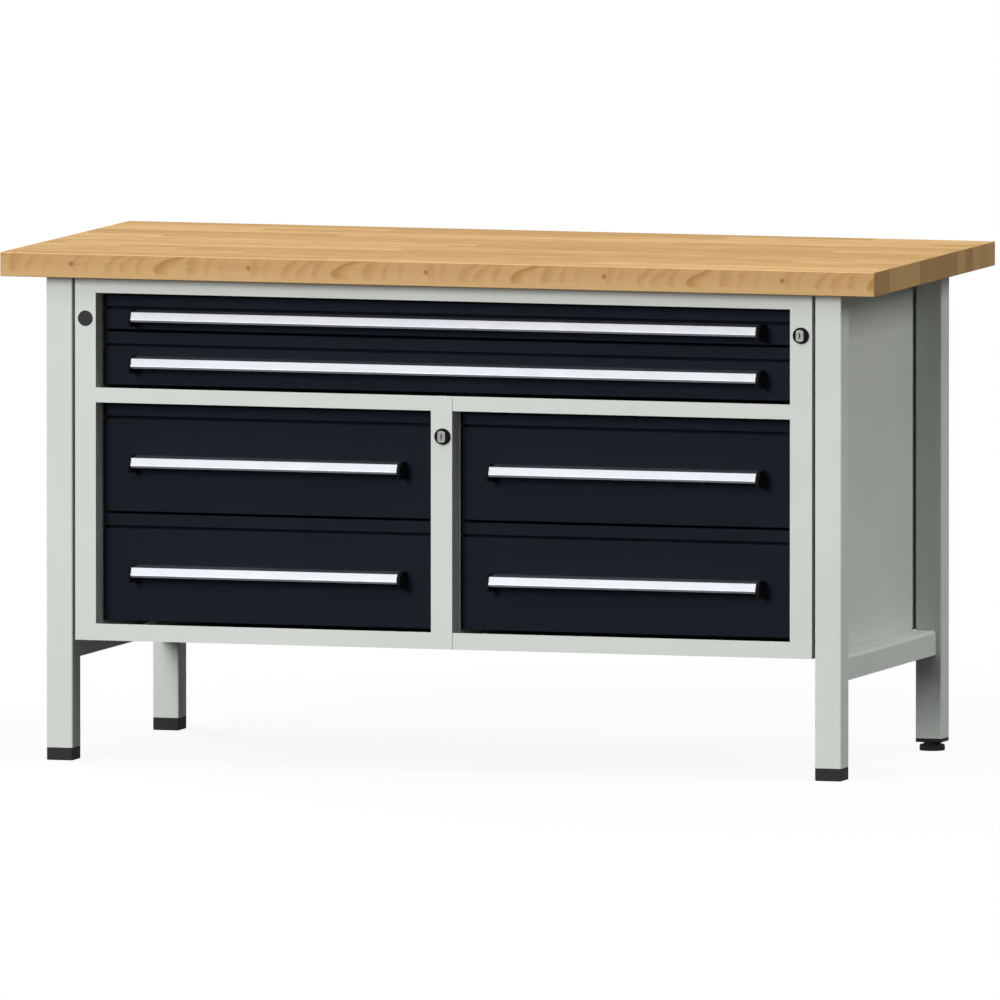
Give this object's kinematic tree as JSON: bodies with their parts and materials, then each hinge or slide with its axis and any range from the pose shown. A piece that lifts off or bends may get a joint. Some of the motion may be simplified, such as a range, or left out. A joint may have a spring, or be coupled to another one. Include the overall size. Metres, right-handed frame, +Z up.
{
  "type": "workbench with drawers",
  "caption": "Workbench with a thick laminated beech top on square steel legs, and a steel cabinet of wide shallow drawers above paired deep drawers with full-width grip handles.",
  "frame": {"origin": "on the floor, under the middle of the worktop (bottom centre of the bounding box)", "axes": "+X along the bench to the right, +Y to the back (the drawers open towards -Y), +Z up"},
  "size_m": [1.5, 0.7, 0.84],
  "materials": {
    "beech": "oiled laminated beech",
    "grey_steel": "light grey powder coat",
    "drawer_blue": "anthracite blue powder coat",
    "drawer_tray": "anthracite blue powder coat",
    "bright_aluminium": "bright anodised",
    "black_plastic": "moulded, fine grain",
    "dark_plastic": "moulded, smooth",
    "lock_nickel": "nickel-plated, satin",
    "zinc_steel": "zinc-plated"
  },
  "bodies": {
    "bench": {"worktop": "beech", "front_legs": "grey_steel", "back_legs": "grey_steel", "lower_side_rails": "grey_steel", "upper_side_rails": "grey_steel", "foot_caps": "black_plastic", "side_wall_left": "grey_steel", "side_wall_right": "grey_steel", "partition_left": "grey_steel", "partition_right": "grey_steel", "top_rail": "grey_steel", "upper_foot_rail": "grey_steel", "lower_top_rails": "grey_steel", "bottom_pans": "grey_steel", "back_panels": "grey_steel", "lock_bezels": "black_plastic", "blind_plug": "dark_plastic", "cabinet_slides": "zinc_steel", "frame_fasteners": "zinc_steel"},
    "levelling_foot": {"levelling_foot": "black_plastic"},
    "lock_upper": {"lock_core_upper": "lock_nickel"},
    "lock_lower": {"lock_core_lower": "lock_nickel"},
    "locking_bar_upper": {"locking_bar_upper": "zinc_steel"},
    "locking_bar_lower": {"locking_bar_lower": "zinc_steel"},
    "upper_bottom_drawer": {"upper_bottom_drawer_front": "drawer_blue", "upper_bottom_drawer_handle": "bright_aluminium", "upper_bottom_drawer_handle_caps": "black_plastic", "upper_bottom_drawer_tray": "drawer_tray", "upper_bottom_drawer_slide_inners": "zinc_steel"},
    "upper_bottom_drawer_middles": {"upper_bottom_drawer_slide_middles": "zinc_steel"},
    "upper_top_drawer": {"upper_top_drawer_front": "drawer_blue", "upper_top_drawer_handle": "bright_aluminium", "upper_top_drawer_handle_caps": "black_plastic", "upper_top_drawer_tray": "drawer_tray", "upper_top_drawer_slide_inners": "zinc_steel"},
    "upper_top_drawer_middles": {"upper_top_drawer_slide_middles": "zinc_steel"},
    "left_bottom_drawer": {"left_bottom_drawer_front": "drawer_blue", "left_bottom_drawer_handle": "bright_aluminium", "left_bottom_drawer_handle_caps": "black_plastic", "left_bottom_drawer_tray": "drawer_tray", "left_bottom_drawer_slide_inners": "zinc_steel"},
    "left_bottom_drawer_middles": {"left_bottom_drawer_slide_middles": "zinc_steel"},
    "left_top_drawer": {"left_top_drawer_front": "drawer_blue", "left_top_drawer_handle": "bright_aluminium", "left_top_drawer_handle_caps": "black_plastic", "left_top_drawer_tray": "drawer_tray", "left_top_drawer_slide_inners": "zinc_steel"},
    "left_top_drawer_middles": {"left_top_drawer_slide_middles": "zinc_steel"},
    "right_bottom_drawer": {"right_bottom_drawer_front": "drawer_blue", "right_bottom_drawer_handle": "bright_aluminium", "right_bottom_drawer_handle_caps": "black_plastic", "right_bottom_drawer_tray": "drawer_tray", "right_bottom_drawer_slide_inners": "zinc_steel"},
    "right_bottom_drawer_middles": {"right_bottom_drawer_slide_middles": "zinc_steel"},
    "right_top_drawer": {"right_top_drawer_front": "drawer_blue", "right_top_drawer_handle": "bright_aluminium", "right_top_drawer_handle_caps": "black_plastic", "right_top_drawer_tray": "drawer_tray", "right_top_drawer_slide_inners": "zinc_steel"},
    "right_top_drawer_middles": {"right_top_drawer_slide_middles": "zinc_steel"}
  },
  "joints": [
    {"name": "levelling_foot_height", "type": "slide", "parent": "bench", "child": "levelling_foot", "axis": [0, 0, 1], "range_m": [-0.012, 0]},
    {"name": "lock_upper_turn", "type": "hinge", "parent": "bench", "child": "lock_upper", "pos_m": [0.61375, -0.3175, 0.731], "axis": [0, 1, 0], "range_deg": [0, 90]},
    {"name": "locking_bar_upper_lift", "type": "slide", "parent": "bench", "child": "locking_bar_upper", "axis": [0, 0, 1], "range_m": [0, 0.007]},
    {"name": "lock_lower_turn", "type": "hinge", "parent": "bench", "child": "lock_lower", "pos_m": [0.00015, -0.3175, 0.5507], "axis": [0, 1, 0], "range_deg": [0, 90]},
    {"name": "locking_bar_lower_lift", "type": "slide", "parent": "bench", "child": "locking_bar_lower", "axis": [0, 0, 1], "range_m": [0, 0.007]},
    {"name": "upper_bottom_drawer_open", "type": "slide", "parent": "bench", "child": "upper_bottom_drawer", "axis": [0, -1, 0], "range_m": [0, 0.5]},
    {"name": "upper_bottom_drawer_middles_follow", "type": "slide", "parent": "bench", "child": "upper_bottom_drawer_middles", "axis": [0, -1, 0], "range_m": [0, 0.25]},
    {"name": "upper_top_drawer_open", "type": "slide", "parent": "bench", "child": "upper_top_drawer", "axis": [0, -1, 0], "range_m": [0, 0.5]},
    {"name": "upper_top_drawer_middles_follow", "type": "slide", "parent": "bench", "child": "upper_top_drawer_middles", "axis": [0, -1, 0], "range_m": [0, 0.25]},
    {"name": "left_bottom_drawer_open", "type": "slide", "parent": "bench", "child": "left_bottom_drawer", "axis": [0, -1, 0], "range_m": [0, 0.5]},
    {"name": "left_bottom_drawer_middles_follow", "type": "slide", "parent": "bench", "child": "left_bottom_drawer_middles", "axis": [0, -1, 0], "range_m": [0, 0.25]},
    {"name": "left_top_drawer_open", "type": "slide", "parent": "bench", "child": "left_top_drawer", "axis": [0, -1, 0], "range_m": [0, 0.5]},
    {"name": "left_top_drawer_middles_follow", "type": "slide", "parent": "bench", "child": "left_top_drawer_middles", "axis": [0, -1, 0], "range_m": [0, 0.25]},
    {"name": "right_bottom_drawer_open", "type": "slide", "parent": "bench", "child": "right_bottom_drawer", "axis": [0, -1, 0], "range_m": [0, 0.5]},
    {"name": "right_bottom_drawer_middles_follow", "type": "slide", "parent": "bench", "child": "right_bottom_drawer_middles", "axis": [0, -1, 0], "range_m": [0, 0.25]},
    {"name": "right_top_drawer_open", "type": "slide", "parent": "bench", "child": "right_top_drawer", "axis": [0, -1, 0], "range_m": [0, 0.5]},
    {"name": "right_top_drawer_middles_follow", "type": "slide", "parent": "bench", "child": "right_top_drawer_middles", "axis": [0, -1, 0], "range_m": [0, 0.25]}
  ],
  "couplings": [
    {"joint": "lock_upper_turn", "follows": "locking_bar_upper_lift", "rad_per_m": 224.4},
    {"joint": "lock_lower_turn", "follows": "locking_bar_lower_lift", "rad_per_m": 224.4},
    {"joint": "upper_bottom_drawer_middles_follow", "follows": "upper_bottom_drawer_open", "ratio": 0.5},
    {"joint": "upper_top_drawer_middles_follow", "follows": "upper_top_drawer_open", "ratio": 0.5},
    {"joint": "left_bottom_drawer_middles_follow", "follows": "left_bottom_drawer_open", "ratio": 0.5},
    {"joint": "left_top_drawer_middles_follow", "follows": "left_top_drawer_open", "ratio": 0.5},
    {"joint": "right_bottom_drawer_middles_follow", "follows": "right_bottom_drawer_open", "ratio": 0.5},
    {"joint": "right_top_drawer_middles_follow", "follows": "right_top_drawer_open", "ratio": 0.5}
  ]
}
